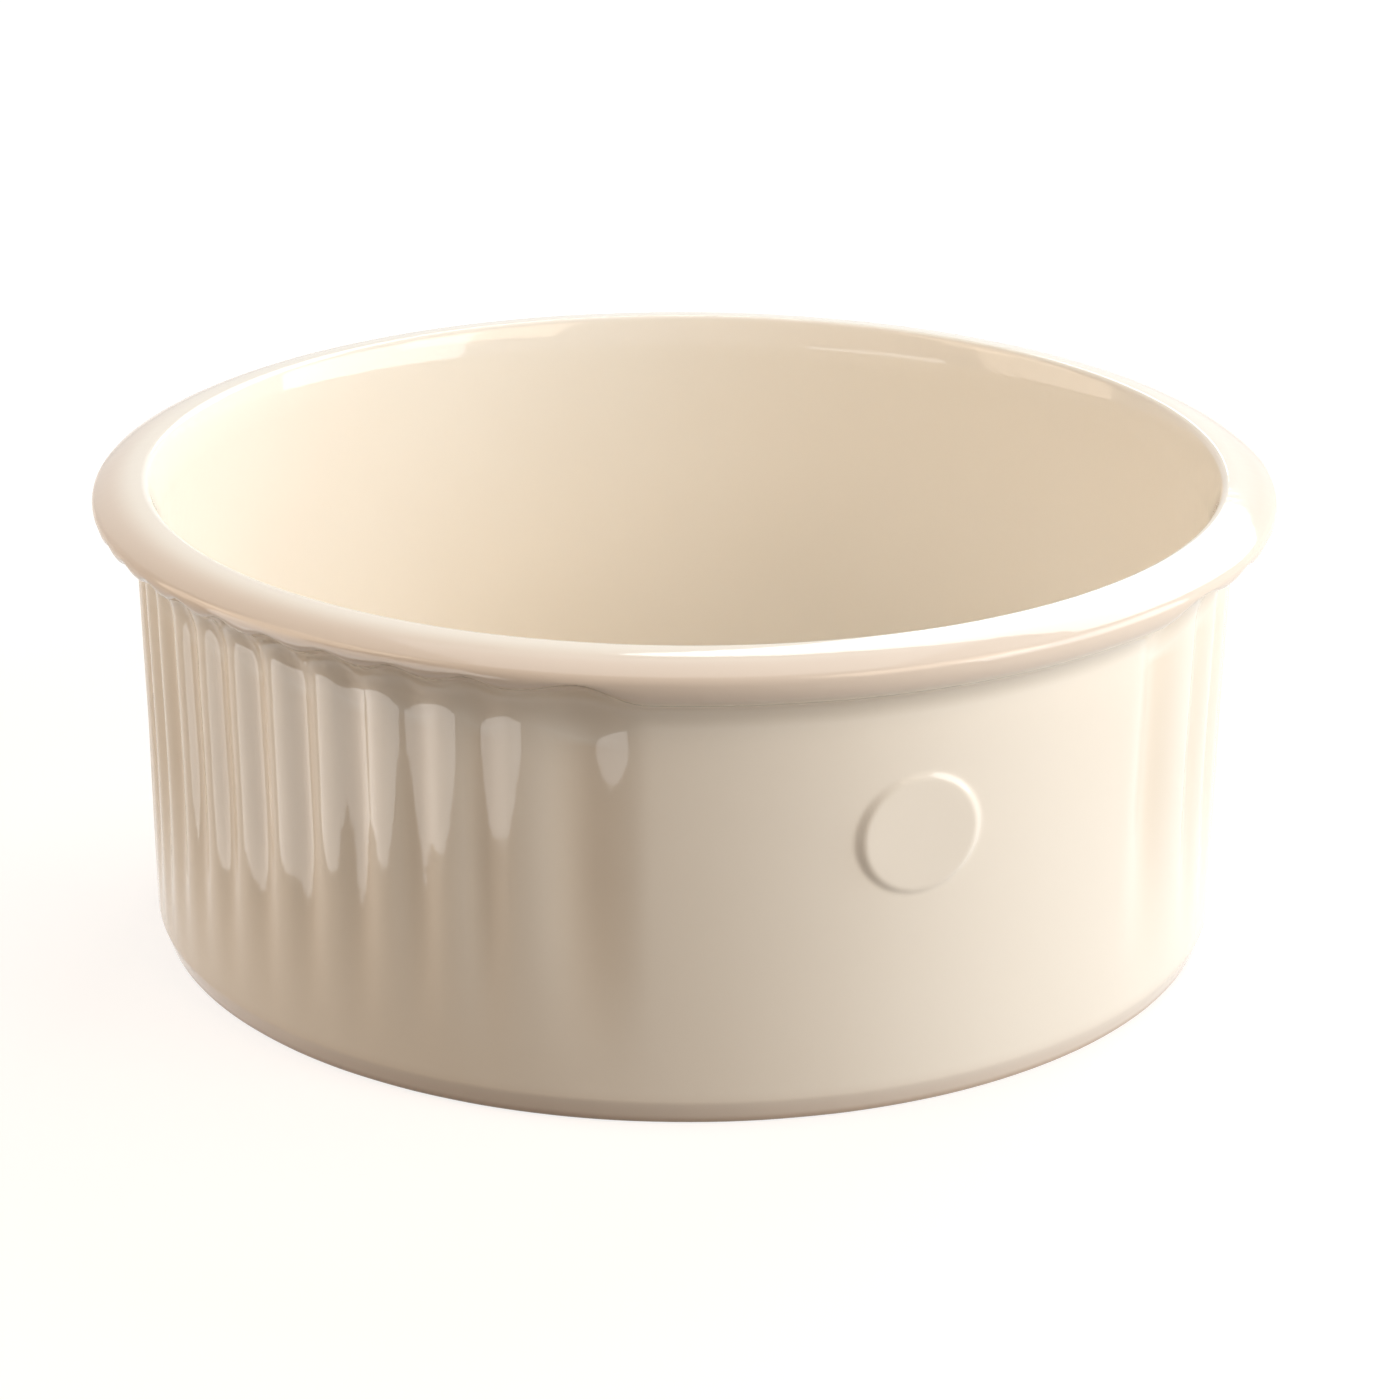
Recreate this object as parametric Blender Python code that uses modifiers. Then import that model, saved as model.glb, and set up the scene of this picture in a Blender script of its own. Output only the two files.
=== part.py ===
"""Souffle dish, two litres: one piece of glazed stoneware.

The dish is turned from its section: floor, upright wall, rolled rim and foot ring.
Every upright edge is then given a section of its own, so that soft reeds run round the
outside and up under the rim, whose lower edge they scallop. They leave a plain panel at
the front for a round raised boss. The dish stands on z = 0, boss towards -Y.
"""
import math

import bpy

MM = 0.001

# Turned body: the wall is measured on the plain panel and leans out a little
RIM_RADIUS = 106.0 * MM
HEIGHT = 85.0 * MM
RIM_OVERHANG = 6.6 * MM
WALL_DRAFT = 2.3 * MM
WALL = 4.8 * MM
FLOOR = 6.8 * MM
FLOOR_FILLET = 9.0 * MM
HEEL_HEIGHT = 4.7 * MM
HEEL_DEPTH = 2.0 * MM

# Rolled rim. Inside, the wall flares out to a narrow round. The top is crowned towards
# the outer round. The underside turns through the under angle, and then a hollow brings
# it back to the wall
MOUTH_FLARE_ROUND = 24.0 * MM
MOUTH_FLARE_ANGLE = math.radians(20.0)
RIM_INNER_ROUND = 3.7 * MM
RIM_CROWN_ROUND = 10.0 * MM
RIM_CROWN_ANGLE = math.radians(20.0)
RIM_OUTER_ROUND = 3.0 * MM
RIM_UNDER_ROUND = 4.8 * MM
RIM_UNDER_ANGLE = math.radians(71.0)

# Foot ring under the base
FOOT_WIDTH = 6.0 * MM
FOOT_RECESS = 1.5 * MM
FOOT_SLOPE = 2.0 * MM

# Reeds: soft grooves in the wall, each of which also thins the rim's underside above it.
# The panel angle is taken between the middles of the two wider grooves that frame it
REED_COUNT = 48
REED_NARROWING = 0.20
PANEL_ANGLE = math.radians(64.8)
EDGE_GROOVE_ANGLE = math.radians(13.0)
GROOVE_DEPTH = 1.4 * MM
GROOVE_SHARPNESS = 1.3
EDGE_GROOVE_SHARE = 1.25
CREST_RECESS = 0.5 * MM
RIM_LIFT = 2.0 * MM
RIM_SCALLOP = 1.9 * MM
REED_FADE_START = 62.0 * MM
REED_FADE_END = 6.0 * MM
REED_PARTS = 4
EDGE_GROOVE_PARTS = 6
PANEL_PARTS = 11

# Boss on the plain panel: flat on top, so it stands out most at its left and right. The
# relief is measured above and below its middle, and the sloping edge ends inside the wall
BOSS_RADIUS = 12.1 * MM
BOSS_CENTRE_HEIGHT = 50.2 * MM
BOSS_RELIEF = 0.45 * MM
BOSS_EDGE = 2.4 * MM
BOSS_EDGE_DROP = 1.45 * MM
BOSS_SINK = 1.8 * MM
BOSS_SIDES = 32

# Straight stretches in each curve of the section
ROUND_PARTS = 3
SHORT_ROUND_PARTS = 2
FADE_PARTS = 3

MERGE = 0.01 * MM
GLAZE_COLOUR = (0.888, 0.807, 0.665, 1.0)
GLAZE_ROUGHNESS = 0.12


def clear_scene():
    for item in list(bpy.data.objects):
        bpy.data.objects.remove(item, do_unlink=True)


def collection(name):
    group = bpy.data.collections.new(name)
    bpy.context.scene.collection.children.link(group)
    return group


def arc(centre_radius, centre_height, radius, start, end, parts):
    """Points on a quarter or less of a circle, with angles measured from outward."""
    points = []
    for i in range(parts + 1):
        angle = start + (end - start) * i / parts
        points.append((centre_radius + radius * math.cos(angle),
                       centre_height + radius * math.sin(angle)))
    return points


def smooth(share):
    share = min(max(share, 0.0), 1.0)
    return share * share * (3.0 - 2.0 * share)


QUARTER = math.pi / 2.0
WALL_FOOT_RADIUS = RIM_RADIUS - RIM_OVERHANG - WALL_DRAFT
WALL_LEAN = WALL_DRAFT / HEIGHT
CROWN_DROP = RIM_CROWN_ROUND * (1.0 - math.cos(RIM_CROWN_ANGLE))
RIM_WIDEST_HEIGHT = HEIGHT - CROWN_DROP - RIM_OUTER_ROUND * math.cos(RIM_CROWN_ANGLE)


def wall_radius(height):
    """Outside radius of the wall, before reeding, at a height."""
    return WALL_FOOT_RADIUS + WALL_LEAN * height


def outside_wall(height, recess):
    """Point on the outside of the wall. The reeding fades out above the heel."""
    fade = smooth((height - REED_FADE_END) / (REED_FADE_START - REED_FADE_END))
    return wall_radius(height) - recess * fade, height


def under_rim(recess, thinning):
    """Underside of the rim, then the hollow that joins it to the wall, from the top down."""
    under_round = RIM_UNDER_ROUND - thinning
    overhang = RIM_RADIUS - wall_radius(RIM_WIDEST_HEIGHT) + recess
    across = 1.0 - math.cos(RIM_UNDER_ANGLE) - WALL_LEAN * math.sin(RIM_UNDER_ANGLE)
    hollow = overhang / across - under_round
    hollow_height = RIM_WIDEST_HEIGHT - (under_round + hollow) * math.sin(RIM_UNDER_ANGLE)
    hollow_radius = wall_radius(hollow_height) - recess + hollow
    points = arc(RIM_RADIUS - under_round, RIM_WIDEST_HEIGHT, under_round, 0.0, -RIM_UNDER_ANGLE,
                 ROUND_PARTS)
    points += arc(hollow_radius, hollow_height, hollow, math.pi - RIM_UNDER_ANGLE, math.pi,
                  ROUND_PARTS)[1:]
    return points


def over_rim():
    """Inside of the mouth and top of the rim, from the foot of the flare to the widest point."""
    inner_turn = math.pi - MOUTH_FLARE_ANGLE
    inner_height = HEIGHT - RIM_INNER_ROUND
    flare_height = inner_height - (MOUTH_FLARE_ROUND - RIM_INNER_ROUND) * math.sin(MOUTH_FLARE_ANGLE)
    flare_radius = wall_radius(flare_height) - WALL + MOUTH_FLARE_ROUND
    inner_radius = flare_radius - (MOUTH_FLARE_ROUND - RIM_INNER_ROUND) * math.cos(MOUTH_FLARE_ANGLE)
    outer_turn = QUARTER - RIM_CROWN_ANGLE
    outer_radius = RIM_RADIUS - RIM_OUTER_ROUND
    crown_radius = outer_radius - (RIM_CROWN_ROUND - RIM_OUTER_ROUND) * math.cos(outer_turn)
    points = arc(flare_radius, flare_height, MOUTH_FLARE_ROUND, math.pi, inner_turn, SHORT_ROUND_PARTS)
    points += arc(inner_radius, inner_height, RIM_INNER_ROUND, inner_turn, QUARTER, SHORT_ROUND_PARTS)[1:]
    points += arc(crown_radius, HEIGHT - RIM_CROWN_ROUND, RIM_CROWN_ROUND, QUARTER, outer_turn, 1)
    points += arc(outer_radius, RIM_WIDEST_HEIGHT, RIM_OUTER_ROUND, outer_turn, 0.0, SHORT_ROUND_PARTS)[1:]
    return points


def dish_section(reeded, groove):
    """Half section from the middle of the floor, over the rim, to under the base.

    The two shares, from 0 on the plain panel, say how much this section is reeded
    and how deep it lies in a groove. Only the outside follows them.
    """
    recess = CREST_RECESS * reeded + GROOVE_DEPTH * groove
    thinning = RIM_LIFT * reeded + RIM_SCALLOP * groove
    floor_inner = wall_radius(FLOOR) - WALL
    foot_outer = wall_radius(HEEL_HEIGHT) - HEEL_DEPTH
    foot_inner = foot_outer - FOOT_WIDTH

    points = [(0.0, FLOOR)]
    points += arc(floor_inner - FLOOR_FILLET, FLOOR + FLOOR_FILLET, FLOOR_FILLET, -QUARTER, 0.0,
                  ROUND_PARTS)
    points += over_rim() + under_rim(recess, thinning)[1:]
    for i in range(FADE_PARTS + 1):
        height = REED_FADE_START + (REED_FADE_END - REED_FADE_START) * i / FADE_PARTS
        points.append(outside_wall(height, recess))
    for i in range(SHORT_ROUND_PARTS + 1):
        turn = QUARTER * i / SHORT_ROUND_PARTS
        points.append((foot_outer + HEEL_DEPTH * math.cos(turn), HEEL_HEIGHT * (1.0 - math.sin(turn))))
    points += [(foot_inner, 0.0), (foot_inner - FOOT_SLOPE, FOOT_RECESS), (0.0, FOOT_RECESS)]
    return points


def hollow_share(place):
    """How deep a point lies in a soft groove, from 0 on one crest over 1 to 0 on the next."""
    return ((1.0 - math.cos(2.0 * math.pi * place)) / 2.0) ** GROOVE_SHARPNESS


def upright_edges():
    """Angle from the boss, share of the reeding and share of a groove, once round the dish."""
    first_crest = (PANEL_ANGLE + EDGE_GROOVE_ANGLE) / 2.0
    reeded_angle = 2.0 * (math.pi - first_crest)
    edges = []
    for i in range((REED_COUNT - 1) * REED_PARTS):
        share = i / ((REED_COUNT - 1) * REED_PARTS)
        drift = REED_NARROWING * math.sin(4.0 * math.pi * share) / (4.0 * math.pi)
        edges.append((first_crest + reeded_angle * (share + drift), 1.0, hollow_share(i / REED_PARTS)))
    for i in range(EDGE_GROOVE_PARTS):
        place = i / EDGE_GROOVE_PARTS
        groove = EDGE_GROOVE_SHARE * hollow_share(place)
        reeded = 1.0 if place < 0.5 else hollow_share(place)
        edges.append((first_crest + reeded_angle + EDGE_GROOVE_ANGLE * place, reeded, groove))
    plain_angle = PANEL_ANGLE - EDGE_GROOVE_ANGLE
    for i in range(PANEL_PARTS):
        edges.append((plain_angle * (i / PANEL_PARTS - 0.5), 0.0, 0.0))
    for i in range(EDGE_GROOVE_PARTS):
        place = i / EDGE_GROOVE_PARTS
        groove = EDGE_GROOVE_SHARE * hollow_share(place)
        reeded = hollow_share(place) if place < 0.5 else 1.0
        edges.append((plain_angle / 2.0 + EDGE_GROOVE_ANGLE * place, reeded, groove))
    return edges


def turned(name, profile, steps):
    """Mesh object turned about Z from a profile of (radius, height) points."""
    mesh = bpy.data.meshes.new(name + "_profile")
    points = [(radius, 0.0, height) for radius, height in profile]
    edges = [(i, i + 1) for i in range(len(points) - 1)]
    mesh.from_pydata(points, edges, [])
    outline = bpy.data.objects.new(name + "_outline", mesh)
    bpy.context.scene.collection.objects.link(outline)
    screw = outline.modifiers.new("turn", "SCREW")
    screw.axis = "Z"
    screw.angle = 2.0 * math.pi
    screw.steps = steps
    screw.render_steps = steps
    screw.use_merge_vertices = True
    screw.merge_threshold = MERGE
    bpy.context.view_layer.update()
    graph = bpy.context.evaluated_depsgraph_get()
    solid = bpy.data.meshes.new_from_object(outline.evaluated_get(graph))
    solid.name = name
    bpy.data.objects.remove(outline, do_unlink=True)
    bpy.data.meshes.remove(mesh)
    return bpy.data.objects.new(name, solid)


def reed_dish(dish, edges):
    """Swing each upright edge to its angle and give it its own section."""
    step = 2.0 * math.pi / len(edges)
    plain = dish_section(0.0, 0.0)
    sections = [dish_section(reeded, groove) for _, reeded, groove in edges]
    for point in dish.data.vertices:
        radius = math.hypot(point.co.x, point.co.y)
        if radius < MERGE:
            continue
        place = round(math.atan2(point.co.y, point.co.x) / step) % len(edges)
        level = min(range(len(plain)), key=lambda i: math.dist(plain[i], (radius, point.co.z)))
        angle = edges[place][0]
        radius, height = sections[place][level]
        point.co = (radius * math.sin(angle), -radius * math.cos(angle), height)


def boss():
    """Round raised boss with a flat top: a turned button set into the wall at the front."""
    flat = BOSS_RADIUS - BOSS_EDGE
    profile = [(0.0, BOSS_RELIEF), (flat / 2.0, BOSS_RELIEF)]
    for i in range(ROUND_PARTS + 1):
        share = i / ROUND_PARTS
        profile.append((flat + BOSS_EDGE * share, BOSS_RELIEF - BOSS_EDGE_DROP * smooth(share)))
    profile += [(BOSS_RADIUS, -BOSS_SINK), (0.0, -BOSS_SINK)]
    button = turned("boss_button", profile, BOSS_SIDES)
    for point in button.data.vertices:
        across, up, out = point.co.x, point.co.y, point.co.z
        height = BOSS_CENTRE_HEIGHT + up
        point.co = (across, -(wall_radius(height) + out), height)
    return button


def glaze():
    material = bpy.data.materials.new("cream_glaze")
    material.use_nodes = True
    shader = material.node_tree.nodes["Principled BSDF"]
    shader.inputs["Base Color"].default_value = GLAZE_COLOUR
    shader.inputs["Roughness"].default_value = GLAZE_ROUGHNESS
    shader.inputs["Metallic"].default_value = 0.0
    return material


def build():
    clear_scene()
    parts = collection("souffle_dish")
    guides = collection("guides")
    edges = upright_edges()
    dish = turned("dish", dish_section(0.0, 0.0), len(edges))
    reed_dish(dish, edges)
    dish.data.materials.append(glaze())
    parts.objects.link(dish)
    button = boss()
    guides.objects.link(button)
    button.hide_render = True
    button.display_type = "WIRE"
    join = dish.modifiers.new("boss", "BOOLEAN")
    join.operation = "UNION"
    join.solver = "EXACT"
    join.object = button
    dish.data.shade_smooth()
    dish.modifiers.new("even_shading", "WEIGHTED_NORMAL")


build()
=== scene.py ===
# %% [markdown]
# # A reeded souffle dish in cream glaze
# A souffle dish is a straight-sided baking dish of stoneware: a flat floor, an upright wall, a
# rolled rim to lift it by, and upright reeds all round the outside. This lesson dresses a working
# model of one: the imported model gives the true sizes, and the cells below make the surface that
# the eye sees, with its glaze, its bare clay foot and a soft studio light.

# %% [markdown]
# ## The frame
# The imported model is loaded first. It holds the real dish in metres, standing on z = 0 with its
# round boss towards -Y. Nothing in it is moved. Its box is kept, because the finished dish has to
# have the same size.

# %% Load the frame
import math

import bpy
from mathutils import Euler, Matrix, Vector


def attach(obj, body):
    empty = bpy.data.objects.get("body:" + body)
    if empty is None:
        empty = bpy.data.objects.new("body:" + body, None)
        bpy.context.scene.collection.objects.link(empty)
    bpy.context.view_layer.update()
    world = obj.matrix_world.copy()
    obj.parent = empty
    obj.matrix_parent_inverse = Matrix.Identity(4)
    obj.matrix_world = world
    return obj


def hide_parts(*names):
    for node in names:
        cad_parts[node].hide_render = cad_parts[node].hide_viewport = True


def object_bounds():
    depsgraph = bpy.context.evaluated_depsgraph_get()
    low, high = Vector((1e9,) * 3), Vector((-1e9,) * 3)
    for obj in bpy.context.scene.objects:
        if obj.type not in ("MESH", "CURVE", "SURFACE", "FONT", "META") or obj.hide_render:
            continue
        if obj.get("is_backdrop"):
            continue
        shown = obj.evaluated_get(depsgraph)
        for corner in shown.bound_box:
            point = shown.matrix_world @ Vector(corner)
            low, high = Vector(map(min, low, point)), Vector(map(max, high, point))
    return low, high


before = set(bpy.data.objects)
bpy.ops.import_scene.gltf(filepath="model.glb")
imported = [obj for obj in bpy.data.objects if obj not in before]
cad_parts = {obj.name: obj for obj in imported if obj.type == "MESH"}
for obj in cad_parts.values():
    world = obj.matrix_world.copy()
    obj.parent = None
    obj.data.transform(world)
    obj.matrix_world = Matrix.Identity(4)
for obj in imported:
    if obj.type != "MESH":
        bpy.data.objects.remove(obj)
cad_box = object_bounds()
print("box of the packed model, mm:", [[round(v * 1000, 1) for v in corner] for corner in cad_box])

# %% [markdown]
# ## Sizes
# The dish is one section turned round, with reeds and a boss worked into it. Its height and the
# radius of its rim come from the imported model. The other sizes of the section follow, with lengths
# in metres and angles in radians. The table below them holds what the reeding, the rim's underside
# and the boss need, and each of its lines becomes a named input of one Geometry Nodes tree. The
# last three lines say how far a hand-glazed surface strays from the perfect one. The rim reaches
# its full radius at the back, so that is where it is read.

# %% Sizes of the dish
MM = 0.001
QUARTER = math.pi / 2.0

_, RIM_RADIUS, HEIGHT = cad_box[1]
RIM_OVERHANG = 6.6 * MM
WALL_DRAFT = 2.3 * MM
WALL = 4.8 * MM
FLOOR = 6.8 * MM
FLOOR_FILLET = 9.0 * MM
HEEL_HEIGHT = 4.9 * MM
HEEL_SLOPE = math.radians(20.0)
HEEL_TOP_ROUND = 3.0 * MM
HEEL_BOTTOM_ROUND = 0.9 * MM
FOOT_WIDTH = 6.0 * MM
FOOT_RECESS = 1.5 * MM
FOOT_SLOPE = 2.0 * MM
MOUTH_FLARE_ROUND = 24.0 * MM
MOUTH_FLARE_ANGLE = math.radians(20.0)
RIM_INNER_ROUND = 1.5 * MM
RIM_CROWN_ROUND = 15.0 * MM
RIM_CROWN_ANGLE = math.radians(32.0)
RIM_OUTER_ROUND = 1.7 * MM
CROWN_DROP = RIM_CROWN_ROUND * (1.0 - math.cos(RIM_CROWN_ANGLE))

SIZES = {
    "Rim radius": RIM_RADIUS,
    "Rim widest height": HEIGHT - CROWN_DROP - RIM_OUTER_ROUND * math.cos(RIM_CROWN_ANGLE),
    "Rim under round": 4.8 * MM,
    "Rim under angle": math.radians(71.0),
    "Wall foot radius": RIM_RADIUS - RIM_OVERHANG - WALL_DRAFT,
    "Wall lean": WALL_DRAFT / HEIGHT,
    "Reed count": 48,
    "Reed narrowing": 0.20,
    "Panel angle": math.radians(64.8),
    "Edge groove angle": math.radians(13.0),
    "Groove depth": 1.4 * MM,
    "Groove sharpness": 1.3,
    "Edge groove share": 1.25,
    "Crest recess": 0.5 * MM,
    "Rim lift": 2.0 * MM,
    "Rim scallop": 1.9 * MM,
    "Reed fade start": 46.0 * MM,
    "Reed fade end": 3.0 * MM,
    "Boss radius": 12.1 * MM,
    "Boss height": 50.2 * MM,
    "Boss relief": 0.45 * MM,
    "Boss edge": 2.4 * MM,
    "Boss edge drop": 1.45 * MM,
    "Boss blend": 0.2 * MM,
    "Unevenness": 0.10 * MM,
    "Unevenness size": 16.0 * MM,
    "Seed": 4,
}
print(len(SIZES), "inputs for the tree")

# %% [markdown]
# ## The section
# A potter would see this dish as one section turned about an upright axis, so the section comes
# first, as a chain of points from the middle of the floor, over the rim, to under the base. Each
# point also carries two numbers for the tree: which stretch it belongs to, and how far along a
# curved stretch it lies. The tree can then bend the stretches that the reeds touch and leave the
# others alone. A table says into how many parts each stretch is divided: more where it curves
# tightly. On the outer wall, rows lie close together only where the boss needs them.

# %% Points of the section
FIXED, UNDER_RIM, HOLLOW, WALL_SIDE, FOOT = range(5)
PARTS = {
    "floor": 9,
    "floor fillet": 10,
    "inner wall": 10,
    "mouth flare": 12,
    "rim inner round": 8,
    "rim top": 2,
    "rim crown": 6,
    "rim outer round": 7,
    "rim under round": 12,
    "hollow": 10,
    "heel top round": 5,
    "heel slope": 4,
    "heel bottom round": 6,
    "foot ring": 3,
    "foot slope": 3,
    "base": 6,
}
ROWS_ABOVE_BOSS = [67.0 * MM, 64.5 * MM]
BOSS_ROW = 0.52 * MM
BOSS_MARGIN = 1.2 * MM
ROWS_BELOW_BOSS = [height * MM for height in range(34, 2, -4)]


def wall_radius(height, sizes=SIZES):
    """Outside radius of the plain wall, before it is reeded."""
    return height * sizes["Wall lean"] + sizes["Wall foot radius"]


def curve(centre_radius, centre_height, radius, start, end, parts):
    """Points on part of a circle, with angles measured from outward."""
    angles = [start + (end - start) * i / parts for i in range(parts + 1)]
    return [(centre_radius + radius * math.cos(a), centre_height + radius * math.sin(a)) for a in angles]


def steps(start, end, parts):
    """Points on a straight line after its start, up to and with its end."""
    return [tuple(a + (b - a) * i / parts for a, b in zip(start, end)) for i in range(1, parts + 1)]


def inside_points():
    """The floor, the inner wall, the flared mouth and the top of the rim."""
    fillet_centre = wall_radius(FLOOR) - WALL - FLOOR_FILLET
    fillet_height = FLOOR + FLOOR_FILLET
    points = [(0.0, FLOOR)]
    fillet = curve(fillet_centre, fillet_height, FLOOR_FILLET, -QUARTER, 0.0, PARTS["floor fillet"])
    points += steps(points[-1], fillet[0], PARTS["floor"]) + fillet[1:]

    inner_turn = math.pi - MOUTH_FLARE_ANGLE
    inner_height = HEIGHT - RIM_INNER_ROUND
    spread = MOUTH_FLARE_ROUND - RIM_INNER_ROUND
    flare_height = inner_height - spread * math.sin(MOUTH_FLARE_ANGLE)
    flare_radius = wall_radius(flare_height) - WALL + MOUTH_FLARE_ROUND
    inner_radius = flare_radius - spread * math.cos(MOUTH_FLARE_ANGLE)
    flare = curve(flare_radius, flare_height, MOUTH_FLARE_ROUND, math.pi, inner_turn, PARTS["mouth flare"])
    points += steps(points[-1], flare[0], PARTS["inner wall"]) + flare[1:]
    inner_parts = PARTS["rim inner round"]
    points += curve(inner_radius, inner_height, RIM_INNER_ROUND, inner_turn, QUARTER, inner_parts)[1:]

    outer_turn = QUARTER - RIM_CROWN_ANGLE
    outer_radius = RIM_RADIUS - RIM_OUTER_ROUND
    outer_height = SIZES["Rim widest height"]
    crown_radius = outer_radius - (RIM_CROWN_ROUND - RIM_OUTER_ROUND) * math.cos(outer_turn)
    crown_height = HEIGHT - RIM_CROWN_ROUND
    crown = curve(crown_radius, crown_height, RIM_CROWN_ROUND, QUARTER, outer_turn, PARTS["rim crown"])
    points += steps(points[-1], crown[0], PARTS["rim top"]) + crown[1:]
    outer_parts = PARTS["rim outer round"]
    return points + curve(outer_radius, outer_height, RIM_OUTER_ROUND, outer_turn, 0.0, outer_parts)[1:]


def wall_points():
    """The outer wall from below the rim to the heel, with close rows behind the boss."""
    reach = SIZES["Boss radius"] + BOSS_MARGIN
    top, bottom = SIZES["Boss height"] + reach, SIZES["Boss height"] - reach
    rows = round((top - bottom) / BOSS_ROW)
    boss_rows = [top + (bottom - top) * i / rows for i in range(rows + 1)]
    return [(wall_radius(height), height) for height in ROWS_ABOVE_BOSS + boss_rows + ROWS_BELOW_BOSS]


def foot_points():
    """The sloping heel, the foot ring and the underside of the base."""
    top_radius = wall_radius(HEEL_HEIGHT) - HEEL_TOP_ROUND
    heel = curve(top_radius, HEEL_HEIGHT, HEEL_TOP_ROUND, 0.0, -HEEL_SLOPE, PARTS["heel top round"])
    bottom_parts = PARTS["heel bottom round"]
    bottom = curve(0.0, HEEL_BOTTOM_ROUND, HEEL_BOTTOM_ROUND, -HEEL_SLOPE, -QUARTER, bottom_parts)
    slope_drop = heel[-1][1] - bottom[0][1]
    outer = heel[-1][0] - slope_drop * math.tan(HEEL_SLOPE) - bottom[0][0]
    bottom = [(outer + radius, height) for radius, height in bottom]
    heel += steps(heel[-1], bottom[0], PARTS["heel slope"]) + bottom[1:]
    inner = outer - FOOT_WIDTH
    ring = steps(heel[-1], (inner, 0.0), PARTS["foot ring"])
    recess = steps(ring[-1], (inner - FOOT_SLOPE, FOOT_RECESS), PARTS["foot slope"])
    base = steps(recess[-1], (0.0, FOOT_RECESS), PARTS["base"])
    return heel, ring, recess + base


section = [(point, FIXED, 0.0) for point in inside_points()]
rim_edge = section[-1][0]
for label, parts in ((UNDER_RIM, PARTS["rim under round"]), (HOLLOW, PARTS["hollow"])):
    section += [(rim_edge, label, i / parts) for i in range(1, parts + 1)]
section += [(point, WALL_SIDE, 0.0) for point in wall_points()]
heel, ring, base = foot_points()
section += [(point, FIXED, 0.0) for point in heel]
section += [(point, FOOT, 0.0) for point in ring]
section += [(point, FIXED, 0.0) for point in base]
print(len(section), "points in the section")

# %% The section as a mesh
outline = bpy.data.meshes.new("dish_section")
outline.from_pydata([(radius, 0.0, height) for (radius, height), _, _ in section],
                    [(i, i + 1) for i in range(len(section) - 1)], [])
columns = {
    "plain_radius": [radius for (radius, _), _, _ in section],
    "plain_height": [height for (_, height), _, _ in section],
    "stretch": [float(stretch) for _, stretch, _ in section],
    "turn": [turn for _, _, turn in section],
}
for name, numbers in columns.items():
    outline.attributes.new(name, "FLOAT", "POINT").data.foreach_set("value", numbers)
dish = bpy.data.objects.new("souffle_dish", outline)
bpy.context.scene.collection.objects.link(dish)
print("the chain has", len(outline.edges), "edges")

# %% [markdown]
# ## Sums inside a node tree
# A rule such as "the hollow meets the wall smoothly" takes dozens of Math nodes, and wired one by
# one they hide the rule. This small class stands for one value in the tree and turns plus, minus,
# times and divide into Math nodes, so that the rules below read like ordinary sums.

# %% A value in the tree
NODES_IN_A_COLUMN = 12
COLUMN_WIDTH = 190
ROW_HEIGHT = 170


def add_node(tree, kind, **settings):
    """New node, set down in tidy columns."""
    node = tree.nodes.new(kind)
    column, row = divmod(len(tree.nodes), NODES_IN_A_COLUMN)
    node.location = (column * COLUMN_WIDTH, -row * ROW_HEIGHT)
    for key, value in settings.items():
        setattr(node, key, value)
    return node


def connect(tree, value, socket):
    """Joins a value or a socket to an input, or writes a plain value into it."""
    if isinstance(value, Value):
        value = value.socket
    if isinstance(value, bpy.types.NodeSocket):
        tree.links.new(value, socket)
    else:
        socket.default_value = value


def calculate(operation, *values):
    """One Math node on values, of which at least one lives in the tree."""
    tree = next(v.tree for v in values if isinstance(v, Value))
    node = add_node(tree, "ShaderNodeMath", operation=operation)
    for value, socket in zip(values, node.inputs):
        connect(tree, value, socket)
    return Value(tree, node.outputs[0])


class Value:
    """A number somewhere in a node tree."""

    def __init__(self, tree, socket):
        self.tree = tree
        self.socket = socket

    def __add__(self, other):
        return calculate("ADD", self, other)

    __radd__ = __add__

    def __sub__(self, other):
        return calculate("SUBTRACT", self, other)

    def __rsub__(self, other):
        return calculate("SUBTRACT", other, self)

    def __mul__(self, other):
        return calculate("MULTIPLY", self, other)

    def __truediv__(self, other):
        return calculate("DIVIDE", self, other)

    def __rtruediv__(self, other):
        return calculate("DIVIDE", other, self)

    def __neg__(self):
        return calculate("SUBTRACT", 0.0, self)


def sine(value):
    return calculate("SINE", value)


def cosine(value):
    return calculate("COSINE", value)


def below(value, limit):
    """1 where the value is below the limit, otherwise 0."""
    return calculate("LESS_THAN", value, limit)


def limited(value):
    """The value, held between 0 and 1."""
    return calculate("MINIMUM", calculate("MAXIMUM", value, 0.0), 1.0)


def smooth(value):
    """A soft step from 0 to 1 while the value runs from 0 to 1."""
    share = limited(value)
    return share * share * (3.0 - share * 2.0)


def pick(condition, yes, no):
    """The first number where the condition is 1, otherwise the second."""
    tree = condition.tree
    node = add_node(tree, "GeometryNodeSwitch", input_type="FLOAT")
    for value, name in ((condition, "Switch"), (no, "False"), (yes, "True")):
        connect(tree, value, node.inputs[name])
    return Value(tree, node.outputs[0])


print("values can now be added, multiplied and compared in a tree")

# %% [markdown]
# ## The tree and its inputs
# The reeding follows a rule all the way round, so the dish is made by Geometry Nodes: one tree
# that takes the section and gives the whole dish. Each line of the table becomes a named input,
# and so do the two materials.

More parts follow.
